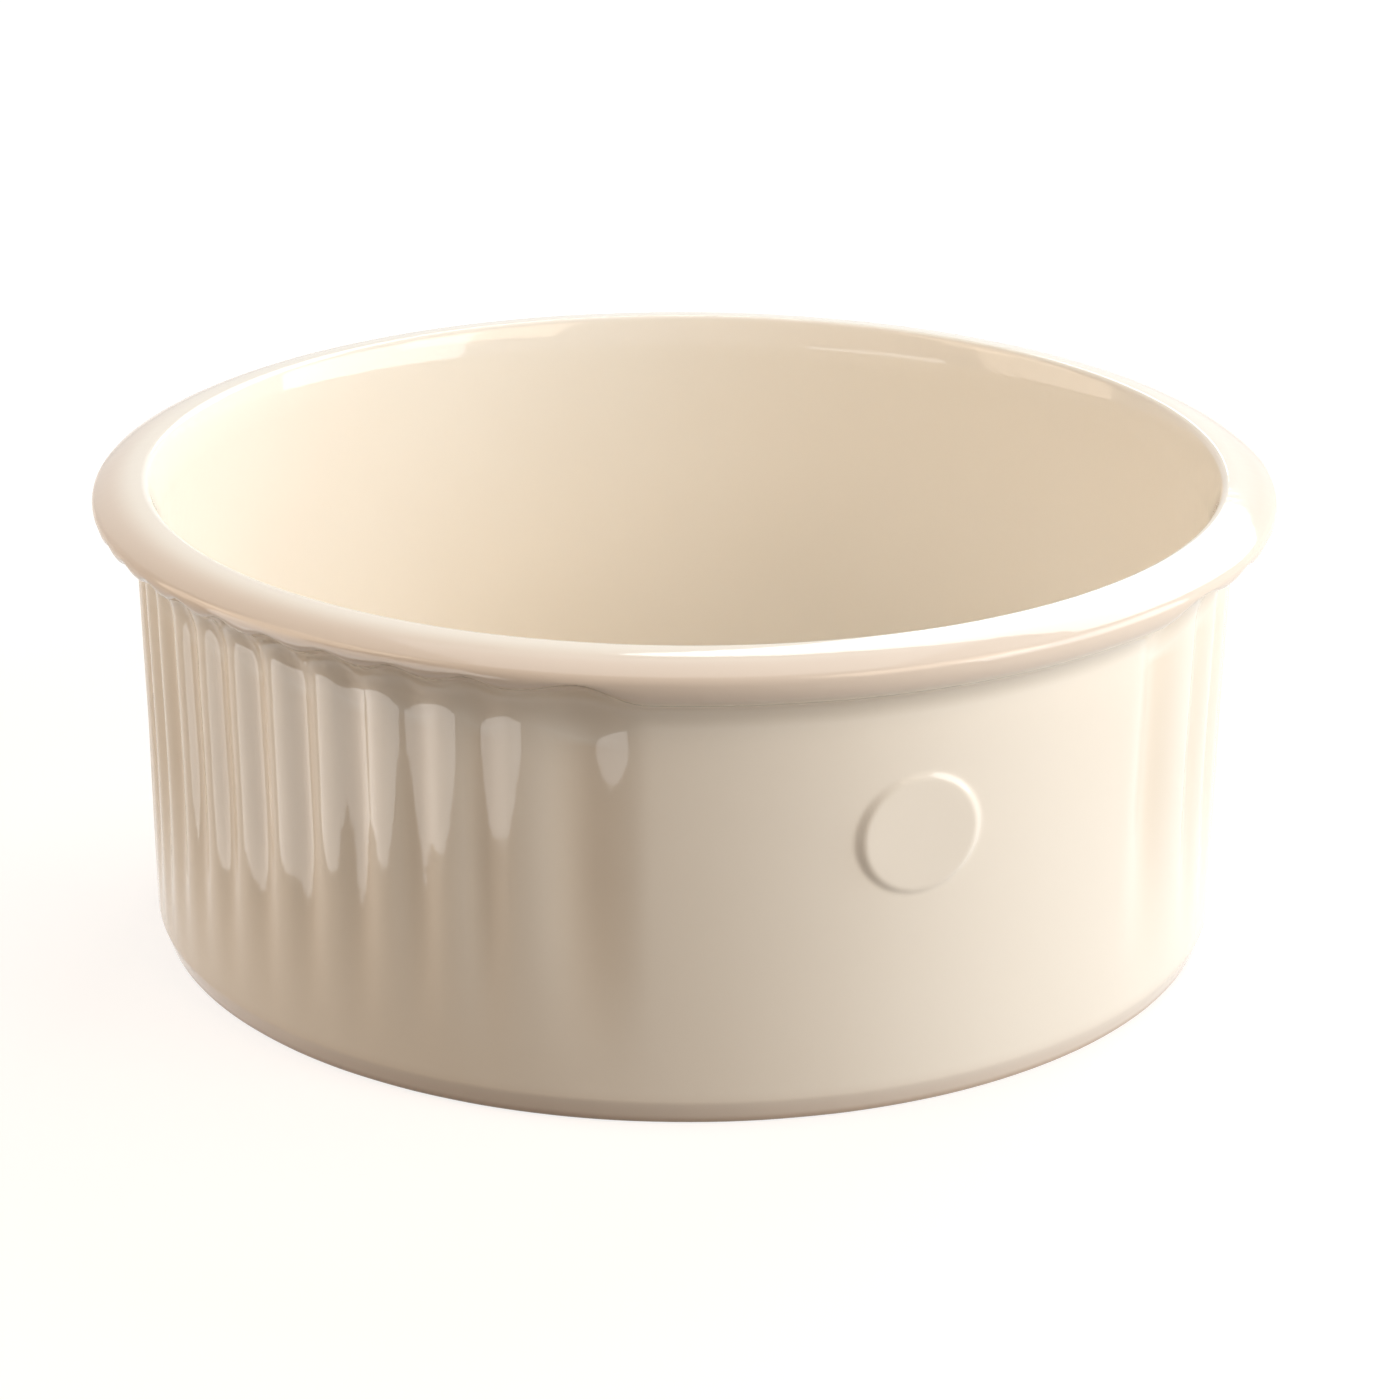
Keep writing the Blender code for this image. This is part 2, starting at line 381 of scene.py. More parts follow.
# %% Tree and inputs
tree = bpy.data.node_groups.new("reeded_dish", "GeometryNodeTree")
tree.interface.new_socket("Section", in_out="INPUT", socket_type="NodeSocketGeometry")
WHOLE_NUMBERS = ("Reed count", "Seed")
identifiers = {}
for name in SIZES:
    kind = "NodeSocketInt" if name in WHOLE_NUMBERS else "NodeSocketFloat"
    identifiers[name] = tree.interface.new_socket(name, in_out="INPUT", socket_type=kind).identifier
for name in ("Glaze", "Bare clay"):
    item = tree.interface.new_socket(name, in_out="INPUT", socket_type="NodeSocketMaterial")
    identifiers[name] = item.identifier
tree.interface.new_socket("Dish", in_out="OUTPUT", socket_type="NodeSocketGeometry")
entrance = add_node(tree, "NodeGroupInput")
size = {name: Value(tree, entrance.outputs[name]) for name in SIZES}
print(len(identifiers), "named inputs")

# %% [markdown]
# ## Sweeping the section round
# Curve to Mesh carries a section along a path. Here the path is a circle with one point for each
# upright edge, and every point keeps its number in an attribute. Where the edges end up doesn't
# matter yet: the rules give each point its place. A reed takes ten edges, which keeps its crest
# round, and the edges lie close together behind the boss.

# %% Upright edges on a circle
REED_EDGES = 10
GROOVE_EDGES = 16
SIDE_EDGES = 10
BOSS_EDGES = 48

PANEL_EDGES = 2 * GROOVE_EDGES + 2 * SIDE_EDGES + BOSS_EDGES

reed_edges = (size["Reed count"] - 1) * REED_EDGES
ring_edges = reed_edges + PANEL_EDGES
circle = add_node(tree, "GeometryNodeCurvePrimitiveCircle")
connect(tree, ring_edges, circle.inputs["Resolution"])
number = add_node(tree, "GeometryNodeInputIndex")
numbered = add_node(tree, "GeometryNodeStoreNamedAttribute", data_type="FLOAT", domain="POINT")
numbered.inputs["Name"].default_value = "edge_number"
connect(tree, circle.outputs[0], numbered.inputs["Geometry"])
connect(tree, number.outputs[0], numbered.inputs["Value"])
chain = add_node(tree, "GeometryNodeMeshToCurve")
connect(tree, entrance.outputs["Section"], chain.inputs["Mesh"])
swept = add_node(tree, "GeometryNodeCurveToMesh")
connect(tree, numbered.outputs[0], swept.inputs["Curve"])
connect(tree, chain.outputs[0], swept.inputs["Profile Curve"])
print("upright edges:", (SIZES["Reed count"] - 1) * REED_EDGES + PANEL_EDGES)

# %% [markdown]
# ## Where the reeds lie
# The reeds are not all one width. They are widest beside the plain panel and narrow towards the
# sides, so a slow wave is added to an even spread. A wider groove frames the panel on each side.
# The cell gives every upright edge its angle from the boss, and says how reeded it is and how
# deep it lies in a groove.

# %% Angle, reeding and groove of each edge


def attribute_value(name):
    """A number that each point carries."""
    node = add_node(tree, "GeometryNodeInputNamedAttribute", data_type="FLOAT")
    node.inputs["Name"].default_value = name
    return Value(tree, node.outputs["Attribute"])


def hollow_share(place):
    """0 on a crest, 1 in the middle of the groove, and 0 on the next crest."""
    wave = (1.0 - cosine(place * (2.0 * math.pi))) / 2.0
    return calculate("POWER", wave, size["Groove sharpness"])


def angles_in_turn(edge, stretches):
    """Angle of an edge on a row of stretches, each with its number of edges, start and end."""
    angle = None
    first = sum(count for count, _, _ in stretches)
    for count, start, end in reversed(stretches):
        first -= count
        here = start + (end - start) * ((edge - first) / count)
        angle = here if angle is None else pick(below(edge, first + count), here, angle)
    return angle


edge = attribute_value("edge_number")
plain_half = (size["Panel angle"] - size["Edge groove angle"]) / 2.0
first_crest = plain_half + size["Edge groove angle"]
boss_half = (size["Boss radius"] + BOSS_MARGIN) / wall_radius(size["Boss height"], size)
share = edge / reed_edges
drift = size["Reed narrowing"] * sine(share * (4.0 * math.pi)) / (4.0 * math.pi)
reed_angle = first_crest + (math.pi - first_crest) * 2.0 * (share + drift)
panel_angle = angles_in_turn(edge - reed_edges, [
    (GROOVE_EDGES, -first_crest, -plain_half),
    (SIDE_EDGES, -plain_half, -boss_half),
    (BOSS_EDGES, -boss_half, boss_half),
    (SIDE_EDGES, boss_half, plain_half),
    (GROOVE_EDGES, plain_half, first_crest),
])
on_reeds = below(edge, reed_edges)
angle = pick(on_reeds, reed_angle, panel_angle)
place = limited((calculate("ABSOLUTE", panel_angle) - plain_half) / size["Edge groove angle"])
side_groove = hollow_share(place)
groove = pick(on_reeds, hollow_share(edge / REED_EDGES), side_groove * size["Edge groove share"])
reeded = pick(calculate("MAXIMUM", on_reeds, below(0.5, place)), 1.0, side_groove)
print("rules for the upright edges done,", len(tree.nodes), "nodes so far")

# %% [markdown]
# ## The rim's underside and the wall
# The rim rolls under in a round, and a hollow brings it back to the wall without a corner. On a
# groove the wall lies deeper and the round is smaller, so the rim's lower edge rises a little:
# that makes its scallops. The round turns through the same angle everywhere, and the hollow's
# size follows from the distance left between rim and wall.

# %% Radius and height of each point
LABEL_TOLERANCE = 0.1

plain_radius = attribute_value("plain_radius")
plain_height = attribute_value("plain_height")
stretch = attribute_value("stretch")
turn = attribute_value("turn")

recess = size["Crest recess"] * reeded + size["Groove depth"] * groove
thinning = size["Rim lift"] * reeded + size["Rim scallop"] * groove
under_round = size["Rim under round"] - thinning
overhang = size["Rim radius"] - wall_radius(size["Rim widest height"], size) + recess
under_angle = size["Rim under angle"]
reach_out = 1.0 - cosine(under_angle) - size["Wall lean"] * sine(under_angle)
hollow = overhang / reach_out - under_round
hollow_height = size["Rim widest height"] - (under_round + hollow) * sine(under_angle)
hollow_radius = wall_radius(hollow_height, size) - recess + hollow

under_turn = under_angle * turn
hollow_turn = math.pi - under_angle * (1.0 - turn)
fade = smooth((plain_height - size["Reed fade end"]) / (size["Reed fade start"] - size["Reed fade end"]))


def on_stretch(which):
    """1 on one stretch of the section, otherwise 0."""
    return calculate("COMPARE", stretch, float(which), LABEL_TOLERANCE)


radius = pick(on_stretch(WALL_SIDE), plain_radius - recess * fade, plain_radius)
radius = pick(on_stretch(UNDER_RIM), size["Rim radius"] - under_round * (1.0 - cosine(under_turn)), radius)
radius = pick(on_stretch(HOLLOW), hollow_radius + hollow * cosine(hollow_turn), radius)
under_height = size["Rim widest height"] - under_round * sine(under_turn)
height = pick(on_stretch(UNDER_RIM), under_height, plain_height)
height = pick(on_stretch(HOLLOW), hollow_height + hollow * sine(hollow_turn), height)
print("rules for the section done,", len(tree.nodes), "nodes so far")

# %% [markdown]
# ## The boss
# The panel carries a low round boss, the size of a coin, formed in the same mould. Its top is
# flat, so on the curved wall it stands out most at its left and right, and its edge slopes down
# softly. It could be a separate button joined on, but moving the wall's own points keeps the
# surface in one piece: wherever the boss would stand out, the point moves out on to it.

# %% Raise the boss
ALMOST_PLAIN = 0.001

across = plain_radius * sine(angle)
up = plain_height - size["Boss height"]
from_middle = calculate("SQRT", across * across + up * up)
slope = smooth((from_middle - size["Boss radius"] + size["Boss edge"]) / size["Boss edge"])
boss_face = (plain_radius + size["Boss relief"] - size["Boss edge drop"] * slope) / cosine(angle)
on_panel = on_stretch(WALL_SIDE) * below(reeded, ALMOST_PLAIN)
raised = calculate("SMOOTH_MAX", radius, boss_face, size["Boss blend"])
radius = pick(on_panel * below(from_middle, size["Boss radius"] + BOSS_MARGIN), raised, radius)
print("boss", round(2.0 * SIZES["Boss radius"] / MM, 1), "mm across its foot")

# %% [markdown]
# ## Placing the points
# Each point now has an angle, a radius and a height. Set Position puts it there, and the points
# that meet on the axis are merged, so that the surface is closed. A fired dish is never quite
# true, and a perfect surface gives reflections that look like plastic, so a second Set Position
# sinks it by up to a tenth of a millimetre, in slow waves from a noise with a fixed seed.

# %% Set the positions
MERGE_DISTANCE = 0.005 * MM
UNEVENNESS_DETAIL = 1.0

spot = add_node(tree, "ShaderNodeCombineXYZ")
connect(tree, radius * sine(angle), spot.inputs["X"])
connect(tree, -(radius * cosine(angle)), spot.inputs["Y"])
connect(tree, height, spot.inputs["Z"])
placed = add_node(tree, "GeometryNodeSetPosition")
connect(tree, swept.outputs[0], placed.inputs["Geometry"])
connect(tree, spot.outputs[0], placed.inputs["Position"])
closed = add_node(tree, "GeometryNodeMergeByDistance")
closed.inputs["Distance"].default_value = MERGE_DISTANCE
connect(tree, placed.outputs[0], closed.inputs["Geometry"])

waves = add_node(tree, "ShaderNodeTexNoise", noise_dimensions="4D")
waves.inputs["Detail"].default_value = UNEVENNESS_DETAIL
connect(tree, size["Seed"], waves.inputs["W"])
connect(tree, 1.0 / size["Unevenness size"], waves.inputs["Scale"])
outward = add_node(tree, "GeometryNodeInputNormal")
sunk = add_node(tree, "ShaderNodeVectorMath", operation="SCALE")
connect(tree, outward.outputs[0], sunk.inputs[0])
connect(tree, -(size["Unevenness"] * Value(tree, waves.outputs[0])), sunk.inputs["Scale"])
uneven = add_node(tree, "GeometryNodeSetPosition")
connect(tree, closed.outputs[0], uneven.inputs["Geometry"])
connect(tree, sunk.outputs[0], uneven.inputs["Offset"])
print("the points have their places")

# %% [markdown]
# ## Finishing the tree
# Glaze runs while it melts and gathers in the grooves and under the rim, and these hollows also lie
# in shade. How much pooling glaze and painted shade lies at each point is stored as an attribute,
# which the material reads. The foot ring stands bare on the kiln shelf, so its faces get the clay
# and all others the glaze. The tree ends in Realize Instances and Set Material, so that what comes
# out is a plain mesh.

# %% Attribute, materials and output
# Painted shade: the share below is partly pooling glaze and partly painted shade, in the grooves of the
# wall and in the hollow under the rim.
POOL_AND_SHADE_IN_GROOVE = 0.6
POOL_AND_SHADE_UNDER_RIM = 0.45
POOL_AND_SHADE_MORE_ON_REEDS = 0.2
POOL_AND_SHADE_MORE_AT_GROOVE = 0.35

groove_pool_and_shade = on_stretch(WALL_SIDE) * groove * fade * POOL_AND_SHADE_IN_GROOVE
under_rim_pool_and_shade = POOL_AND_SHADE_UNDER_RIM + reeded * POOL_AND_SHADE_MORE_ON_REEDS + groove * POOL_AND_SHADE_MORE_AT_GROOVE
hollow_pool_and_shade = on_stretch(HOLLOW) * sine(turn * math.pi) * under_rim_pool_and_shade
# Stores the share of pooling glaze and painted shade for the material.
stored_pool_and_shade = add_node(tree, "GeometryNodeStoreNamedAttribute", data_type="FLOAT", domain="POINT")
stored_pool_and_shade.inputs["Name"].default_value = "pooled_glaze_and_shade"
connect(tree, uneven.outputs[0], stored_pool_and_shade.inputs["Geometry"])
connect(tree, limited(groove_pool_and_shade + hollow_pool_and_shade), stored_pool_and_shade.inputs["Value"])
soft = add_node(tree, "GeometryNodeSetShadeSmooth")
connect(tree, stored_pool_and_shade.outputs[0], soft.inputs["Geometry"])
real = add_node(tree, "GeometryNodeRealizeInstances")
connect(tree, soft.outputs[0], real.inputs["Geometry"])
glazed = add_node(tree, "GeometryNodeSetMaterial")
connect(tree, real.outputs[0], glazed.inputs["Geometry"])
connect(tree, entrance.outputs["Glaze"], glazed.inputs["Material"])
footed = add_node(tree, "GeometryNodeSetMaterial")
connect(tree, glazed.outputs[0], footed.inputs["Geometry"])
connect(tree, on_stretch(FOOT), footed.inputs["Selection"])
connect(tree, entrance.outputs["Bare clay"], footed.inputs["Material"])
leave = add_node(tree, "NodeGroupOutput")
connect(tree, footed.outputs[0], leave.inputs[0])
print("the tree has", len(tree.nodes), "nodes")

# %% [markdown]
# ## Two effects that both finishes share
# Glaze and clay have two things in common: dark iron specks, and a fine grain. Each is a shader
# node group, built once and used in both materials with its own strength. The groups give out
# only masks and heights. Both read Object coordinates, so the pattern stays where it is.

# %% Group for iron specks


def new_group(name, inputs, outputs):
    """Shader group with number sockets, and its ways in and out."""
    group = bpy.data.node_groups.new(name, "ShaderNodeTree")
    for label in inputs:
        group.interface.new_socket(label, in_out="INPUT", socket_type="NodeSocketFloat")
    for label in outputs:
        group.interface.new_socket(label, in_out="OUTPUT", socket_type="NodeSocketFloat")
    return group, add_node(group, "NodeGroupInput"), add_node(group, "NodeGroupOutput")


specks, way_in, way_out = new_group("iron_specks", ("Per metre", "Share", "Width"), ("Mask",))
where = add_node(specks, "ShaderNodeTexCoord")
cells = add_node(specks, "ShaderNodeTexVoronoi")
connect(specks, where.outputs["Object"], cells.inputs["Vector"])
connect(specks, way_in.outputs["Per metre"], cells.inputs["Scale"])
chance = add_node(specks, "ShaderNodeSeparateColor")
connect(specks, cells.outputs["Color"], chance.inputs["Color"])
chosen = below(Value(specks, chance.outputs["Red"]), way_in.outputs["Share"])
nearness = 1.0 - Value(specks, cells.outputs["Distance"]) / Value(specks, way_in.outputs["Width"])
connect(specks, chosen * smooth(nearness * 2.0), way_out.inputs["Mask"])
print("group", specks.name)

# %% Group for fine grain
GRAIN_DETAIL = 3.0

grain, way_in, way_out = new_group("fine_grain", ("Per metre", "Roughness"), ("Height",))
where = add_node(grain, "ShaderNodeTexCoord")
rough = add_node(grain, "ShaderNodeTexNoise")
rough.inputs["Detail"].default_value = GRAIN_DETAIL
connect(grain, where.outputs["Object"], rough.inputs["Vector"])
connect(grain, way_in.outputs["Per metre"], rough.inputs["Scale"])
connect(grain, way_in.outputs["Roughness"], rough.inputs["Roughness"])
connect(grain, rough.outputs[0], way_out.inputs["Height"])
print("group", grain.name)

# %% [markdown]
# ## Cream glaze
# The glaze is a warm, slightly milky cream over pale stoneware: glossy, with very small waves in
# its surface. It is a little deeper in the grooves and under the rim, partly because it pools there
# and partly as painted shade in these hollows. The outer slope of the rim and the heel get a darker,
# warmer cream as painted shade, and a painted contact shadow makes a brown line just above the foot.
# A Principled shader with a low roughness carries it, and each variation is laid over the base
# colour in turn, with its own share.

# %% Material for the glaze
CREAM = (0.915, 0.866, 0.792, 1.0)
# Darker cream for pooling glaze and painted shade in the grooves and under the rim.
POOLED_AND_SHADED_CREAM = (0.740, 0.600, 0.440, 1.0)
CLOUDY_CREAM = (0.925, 0.884, 0.820, 1.0)
# Painted shade on the outer slope of the rim and on the heel.
PAINTED_SHADE_CREAM = (0.780, 0.650, 0.560, 1.0)
# Painted contact shadow, a brown line just above the foot.
PAINTED_CONTACT_SHADOW = (0.520, 0.360, 0.230, 1.0)
SPECK_BROWN = (0.190, 0.120, 0.070, 1.0)
# Shares of the layers: the one for the hollows is pooling glaze with painted shade, those for heel and rim
# are painted shade, and the foot edge one is a painted contact shadow.
SHARES = {"clouds": 0.5, "pool_and_shade": 0.45, "heel": 0.6, "rim": 0.65, "foot edge": 0.7, "specks": 0.6}
GLAZE_IOR = 1.5
GLAZE_ROUGHNESS = 0.045
CLOUDY_ROUGHNESS = 0.03


def new_material(name, colour, roughness):
    """Material with a Principled shader, whose plain values are set on its own sockets."""
    material = bpy.data.materials.new(name)
    material.use_nodes = True
    material.diffuse_color = colour
    shader = material.node_tree.nodes["Principled BSDF"]
    shader.inputs["Base Color"].default_value = colour
    shader.inputs["Roughness"].default_value = roughness
    return material, material.node_tree, shader


def use_group(nodes, group, **values):
    """A group in a material, with its inputs set."""
    node = add_node(nodes, "ShaderNodeGroup", node_tree=group)
    for label, value in values.items():
        node.inputs[label.replace("_", " ")].default_value = value
    return Value(nodes, node.outputs[0])


def blend(nodes, share, first, second):
    """Colour that goes from the first to the second as the share goes from 0 to 1."""
    node = add_node(nodes, "ShaderNodeMix", data_type="RGBA")
    connect(nodes, share, node.inputs[0])
    connect(nodes, first, node.inputs[6])
    connect(nodes, second, node.inputs[7])
    return node.outputs[2]


def bump(nodes, height, distance, strength):
    """Normal from a height, for detail too fine to model."""
    node = add_node(nodes, "ShaderNodeBump")
    node.inputs["Distance"].default_value = distance
    node.inputs["Strength"].default_value = strength
    connect(nodes, height, node.inputs["Height"])
    return node.outputs["Normal"]


def rising(value, start, reach):
    """0 up to the start, and 1 once the value has gone the reach beyond it."""
    return smooth((value - start) / reach)


glaze, nodes, shader = new_material("cream_glaze", CREAM, roughness=0.1)
shader.inputs["IOR"].default_value = GLAZE_IOR
# Share of pooling glaze and painted shade, from the tree.
pool_and_shade_node = add_node(nodes, "ShaderNodeAttribute", attribute_name="pooled_glaze_and_shade")
pool_and_shade = Value(nodes, pool_and_shade_node.outputs["Fac"])
where = add_node(nodes, "ShaderNodeTexCoord")
apart = add_node(nodes, "ShaderNodeSeparateXYZ")
connect(nodes, where.outputs["Object"], apart.inputs[0])
across, along, above_foot = (Value(nodes, apart.outputs[axis]) for axis in "XYZ")
from_axis = calculate("SQRT", across * across + along * along)
clouds = use_group(nodes, grain, Per_metre=24.0, Roughness=0.4)
ripple = use_group(nodes, grain, Per_metre=420.0, Roughness=0.3)
dots = use_group(nodes, specks, Per_metre=70.0, Share=0.05, Width=0.045)
milky = rising(clouds, start=0.35, reach=0.3)
# Painted contact shadow in a thin band just above the table.
contact_shadow = 1.0 - rising(above_foot, start=0.3 * MM, reach=1.6 * MM)
# Painted shade on the heel, strongest near its foot, and on the outer slope of the rim.
painted_heel_shade = 1.0 - rising(above_foot, start=1.5 * MM, reach=5.0 * MM)
outermost = rising(from_axis, start=98.5 * MM, reach=5.0 * MM)
painted_rim_shade = outermost * rising(above_foot, start=77.0 * MM, reach=2.0 * MM)
colour = blend(nodes, milky * SHARES["clouds"], CREAM, CLOUDY_CREAM)
# Pooling glaze and painted shade darken the grooves and the hollow under the rim.
colour = blend(nodes, pool_and_shade * SHARES["pool_and_shade"], colour, POOLED_AND_SHADED_CREAM)
# Painted shade on the heel and on the rim's outer slope.
colour = blend(nodes, limited(painted_heel_shade * SHARES["heel"] + painted_rim_shade * SHARES["rim"]), colour, PAINTED_SHADE_CREAM)
# Painted contact shadow above the foot.
colour = blend(nodes, contact_shadow * SHARES["foot edge"], colour, PAINTED_CONTACT_SHADOW)
colour = blend(nodes, dots * SHARES["specks"], colour, SPECK_BROWN)
connect(nodes, colour, shader.inputs["Base Color"])
connect(nodes, GLAZE_ROUGHNESS + clouds * CLOUDY_ROUGHNESS, shader.inputs["Roughness"])
connect(nodes, bump(nodes, ripple, distance=0.05 * MM, strength=0.35), shader.inputs["Normal"])
print("material", glaze.name)

# %% [markdown]
# ## Bare clay
# The ring that the dish stands on has no glaze, or the dish would melt on to the kiln shelf. It
# shows the fired clay: buff, quite matt and finely sandy. The same two groups are used, coarser
# and stronger than in the glaze.

# %% Material for the clay
BUFF = (0.560, 0.430, 0.300, 1.0)
DARK_BUFF = (0.420, 0.300, 0.195, 1.0)
CLAY_SPECKS = 0.7
CLAY_ROUGHNESS = 0.75
SANDY_ROUGHNESS = 0.2

clay, nodes, shader = new_material("bare_clay", BUFF, roughness=0.85)
sand = use_group(nodes, grain, Per_metre=900.0, Roughness=0.6)
dots = use_group(nodes, specks, Per_metre=420.0, Share=0.35, Width=0.3)
colour = blend(nodes, sand, BUFF, DARK_BUFF)
connect(nodes, blend(nodes, dots * CLAY_SPECKS, colour, SPECK_BROWN), shader.inputs["Base Color"])
connect(nodes, CLAY_ROUGHNESS + sand * SANDY_ROUGHNESS, shader.inputs["Roughness"])
connect(nodes, bump(nodes, sand, distance=0.15 * MM, strength=0.7), shader.inputs["Normal"])
print("material", clay.name)

# %% [markdown]
# ## From tree to mesh
# The tree sits on a modifier, whose inputs are set by their identifiers before the dish is first
# evaluated. The result is then taken as a plain mesh, and the modifier goes. The helper attributes
# go too, and of the added ones only the share of pooling glaze and painted shade stays.

# %% Bake the dish
modifier = dish.modifiers.new("reeding", "NODES")
modifier.node_group = tree
for name, value in (*SIZES.items(), ("Glaze", glaze), ("Bare clay", clay)):
    modifier[identifiers[name]] = value
bpy.context.view_layer.update()
graph = bpy.context.evaluated_depsgraph_get()
finished = bpy.data.meshes.new_from_object(dish.evaluated_get(graph))
dish.modifiers.remove(modifier)
dish.data = finished
finished.name = "souffle_dish"
for name in ("edge_number", *columns):
    finished.attributes.remove(finished.attributes[name])
triangles = sum(len(face.vertices) - 2 for face in finished.polygons)
print("dish:", len(finished.vertices), "points,", triangles, "triangles")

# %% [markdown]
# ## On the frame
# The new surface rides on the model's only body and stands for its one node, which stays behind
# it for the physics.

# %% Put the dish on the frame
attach(dish, "root")
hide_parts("dish")
print("the dish replaces the node of the model")

# %% [markdown]
# ## The table
# The dish stands on a plain white table that runs on into a white background. A surface lit to
# pure white would throw too much light on the dish, so the table is a matt grey, and a glow is
# added to it only for the camera and for what a mirror or a glass would show. The soft shadow
# round the foot still shows, because the glow is the same all over.

# %% White table
TABLE_RADIUS = 14.0
TABLE_SIDES = 64
TABLE_GREY = (0.34, 0.31, 0.28, 1.0)
TABLE_GLOW = 0.77
TABLE_SHINE = 0.1
SEEN_WAYS = ("Is Camera Ray", "Is Glossy Ray", "Is Transmission Ray")


def seen_or_mirrored(nodes):
    """1 for what the camera sees straight, in a mirror or through glass, otherwise 0."""
    path = add_node(nodes, "ShaderNodeLightPath")
    camera_ray, glossy_ray, glass_ray = (Value(nodes, path.outputs[name]) for name in SEEN_WAYS)
    return limited(camera_ray + glossy_ray + glass_ray)


turns = [2.0 * math.pi * i / TABLE_SIDES for i in range(TABLE_SIDES)]
corners = [(TABLE_RADIUS * math.cos(turn), TABLE_RADIUS * math.sin(turn), 0.0) for turn in turns]
table_mesh = bpy.data.meshes.new("table")
table_mesh.from_pydata(corners, [], [tuple(range(TABLE_SIDES))])
table = bpy.data.objects.new("table", table_mesh)
bpy.context.scene.collection.objects.link(table)

white, nodes, shader = new_material("white_table", TABLE_GREY, roughness=0.9)
shader.inputs["Specular IOR Level"].default_value = TABLE_SHINE
glow = add_node(nodes, "ShaderNodeEmission")
connect(nodes, seen_or_mirrored(nodes) * TABLE_GLOW, glow.inputs["Strength"])
both = add_node(nodes, "ShaderNodeAddShader")
connect(nodes, shader.outputs[0], both.inputs[0])
connect(nodes, glow.outputs[0], both.inputs[1])
connect(nodes, both.outputs[0], nodes.nodes["Material Output"].inputs["Surface"])
table_mesh.materials.append(white)
table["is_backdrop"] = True
print("table", TABLE_RADIUS * 2, "m across")

# %% [markdown]
# ## Soft light
# Glaze is read by what it mirrors, and its cream by the tint of the light. A low and a high
# softbox on the right, the low one cooler, light the right of the wall and, across the mouth, the
# inside on the left. A weaker and warmer pair on the left keeps the reeds in shade legible. A cool
# lamp behind and another overhead draw the bright line along the lip. A small card at the front
# left stands close and low, is only mirrored, and gives the drop-shaped glints at the top of the
# reeds. The table of softboxes gives each one's turn to the right of the camera and its elevation
# in degrees, its width and height in metres, its power in watts and its colour.

# %% Lamps
VIEW_AZIMUTH = math.radians(-23.1)
VIEW_ELEVATION = math.radians(20.65)
AIM = (0.0, 0.0, 40.3 * MM)
WHITE_LIGHT = (1.0, 1.0, 1.0)
COOL_LIGHT = (0.90, 0.97, 1.0)
WARM_LIGHT = (1.0, 0.81, 0.62)
SOFTBOX_DISTANCE = 1.3
SOFTBOXES = {
    "low_right": (78.0, 14.0, 1.2, 0.9, 13.2, COOL_LIGHT),
    "high_right": (50.0, 34.0, 0.9, 0.8, 8.4, WARM_LIGHT),
    "low_left": (-92.0, 12.0, 0.9, 0.8, 5.0, WARM_LIGHT),
    "high_left": (-84.0, 38.0, 0.9, 0.8, 5.6, WARM_LIGHT),
    "behind": (152.0, 38.0, 1.0, 0.8, 11.5, COOL_LIGHT),
    "overhead": (180.0, 75.0, 0.9, 0.8, 2.0, COOL_LIGHT),
}
CARD = (-47.7, 3.0, 180.0 * MM, 120.0 * MM, 0.16, WHITE_LIGHT)
CARD_DISTANCE = 205.0 * MM
CARD_TILT = math.radians(28.0)
CARD_TWIST = math.radians(25.0)


def direction(azimuth, elevation):
    """Unit vector from the dish, with azimuth 0 in front of the boss and growing to the right."""
    level = math.cos(elevation)
    return (math.sin(azimuth) * level, -math.cos(azimuth) * level, math.sin(elevation))


def facing(vector):
    """Rotation that turns the back of a lamp or camera along a vector."""
    azimuth = math.atan2(vector[0], -vector[1])
    elevation = math.asin(vector[2])
    return (QUARTER - elevation, 0.0, azimuth)


def softbox(name, distance, turn, elevation, width, height, power, colour):
    """Rectangular lamp aimed at the dish, at an angle to the right of the camera."""
    lamp = bpy.data.lights.new(name, "AREA")
    lamp.color = colour
    lamp.shape = "RECTANGLE"
    lamp.size = width
    lamp.size_y = height
    lamp.energy = power
    holder = bpy.data.objects.new(name, lamp)
    away = direction(VIEW_AZIMUTH + math.radians(turn), math.radians(elevation))
    holder.location = [a + distance * d for a, d in zip(AIM, away)]
    holder.rotation_euler = facing(away)
    bpy.context.scene.collection.objects.link(holder)
    return holder


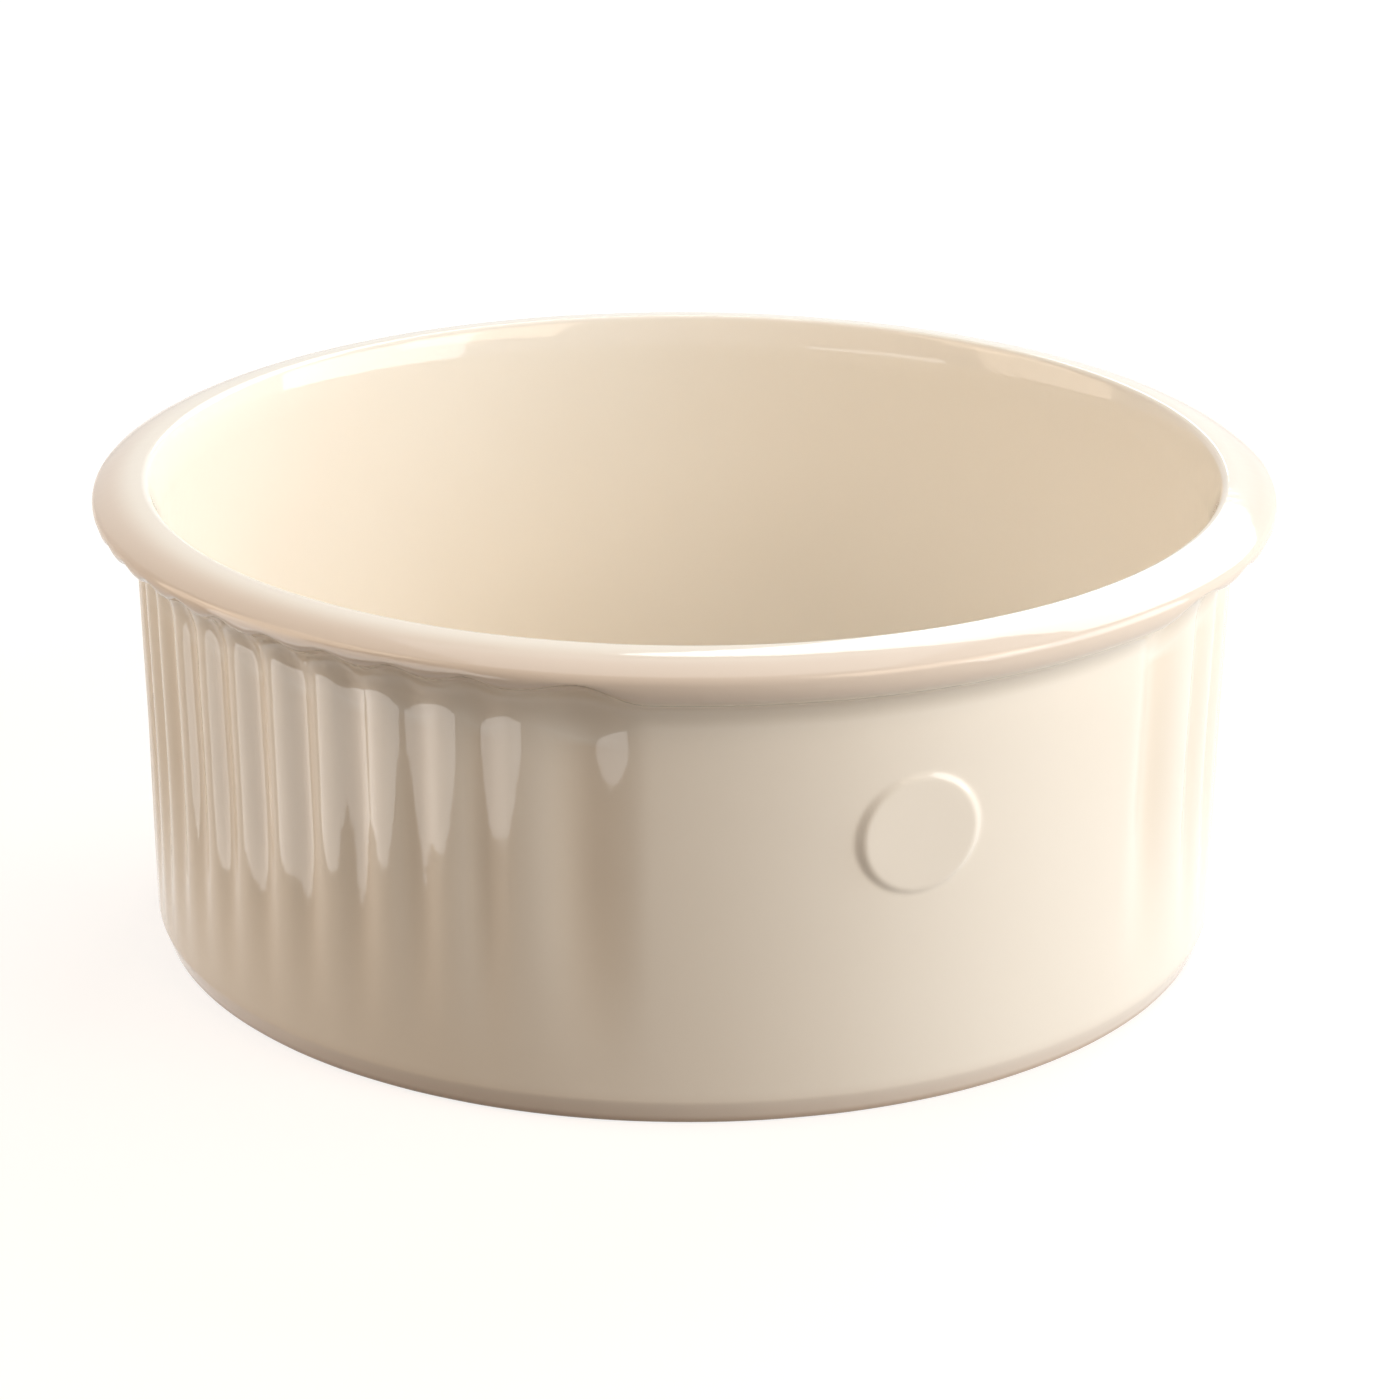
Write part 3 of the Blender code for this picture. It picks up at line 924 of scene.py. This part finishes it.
for name, values in SOFTBOXES.items():
    softbox(name, SOFTBOX_DISTANCE, *values)
card = softbox("left_card", CARD_DISTANCE, *CARD)
card.rotation_euler[0] += CARD_TILT
card.rotation_euler[2] -= CARD_TWIST
card.visible_camera = False
card.visible_diffuse = False
print(len(SOFTBOXES), "softboxes and a card")

# %% [markdown]
# ## The white background
# The photograph has plain white behind the dish. The world is white in the same way as the table:
# for the camera, and for what a mirror or a glass would show. For all other light it is black, so
# that only the lamps light the dish. The Standard view keeps pure white pure.

# %% World and colour
BLACK = (0.0, 0.0, 0.0, 1.0)
WHITE = (1.0, 1.0, 1.0, 1.0)

world = bpy.data.worlds.new("studio")
world.use_nodes = True
nodes = world.node_tree
background = nodes.nodes["Background"]
connect(nodes, blend(nodes, seen_or_mirrored(nodes), BLACK, WHITE), background.inputs["Color"])
bpy.context.scene.world = world
bpy.context.scene.view_settings.view_transform = "Standard"
print("world and colour")

# %% [markdown]
# ## The camera
# The photograph was taken from a little above and to the left of the boss, through a long lens:
# the two sides of the wall stay almost upright. The distance, the lens, its shift and the small
# roll come from fitting the rim and the foot as ellipses. Blender takes the sensor and the lens in
# millimetres, and the shift as a share of the sensor's width.

# %% Camera
DISTANCE = 793.4 * MM
ROLL = 0.004
SENSOR_WIDTH = 36.0
LENS = 111.2
SHIFT = (0.0114, -0.0047)
FARTHEST = 100.0

camera_data = bpy.data.cameras.new("camera")
camera_data.sensor_width = SENSOR_WIDTH
camera_data.lens = LENS
camera_data.shift_x, camera_data.shift_y = SHIFT
camera_data.clip_end = FARTHEST
camera = bpy.data.objects.new("camera", camera_data)
back = direction(VIEW_AZIMUTH, VIEW_ELEVATION)
camera.location = [a + DISTANCE * d for a, d in zip(AIM, back)]
aimed = Euler(facing(back)).to_matrix() @ Matrix.Rotation(ROLL, 3, "Z")
camera.rotation_euler = aimed.to_euler()
bpy.context.scene.collection.objects.link(camera)
bpy.context.scene.camera = camera
print("lens", round(camera_data.lens, 1), "mm")

# %% [markdown]
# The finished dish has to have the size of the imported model. Both boxes are written down, so that
# they can be compared after each render.

# %% Write the sizes and finish
boxes = {"cad": cad_box, "visual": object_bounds()}
for name, box in boxes.items():
    print(name, [[round(v * 1000, 2) for v in corner] for corner in box])
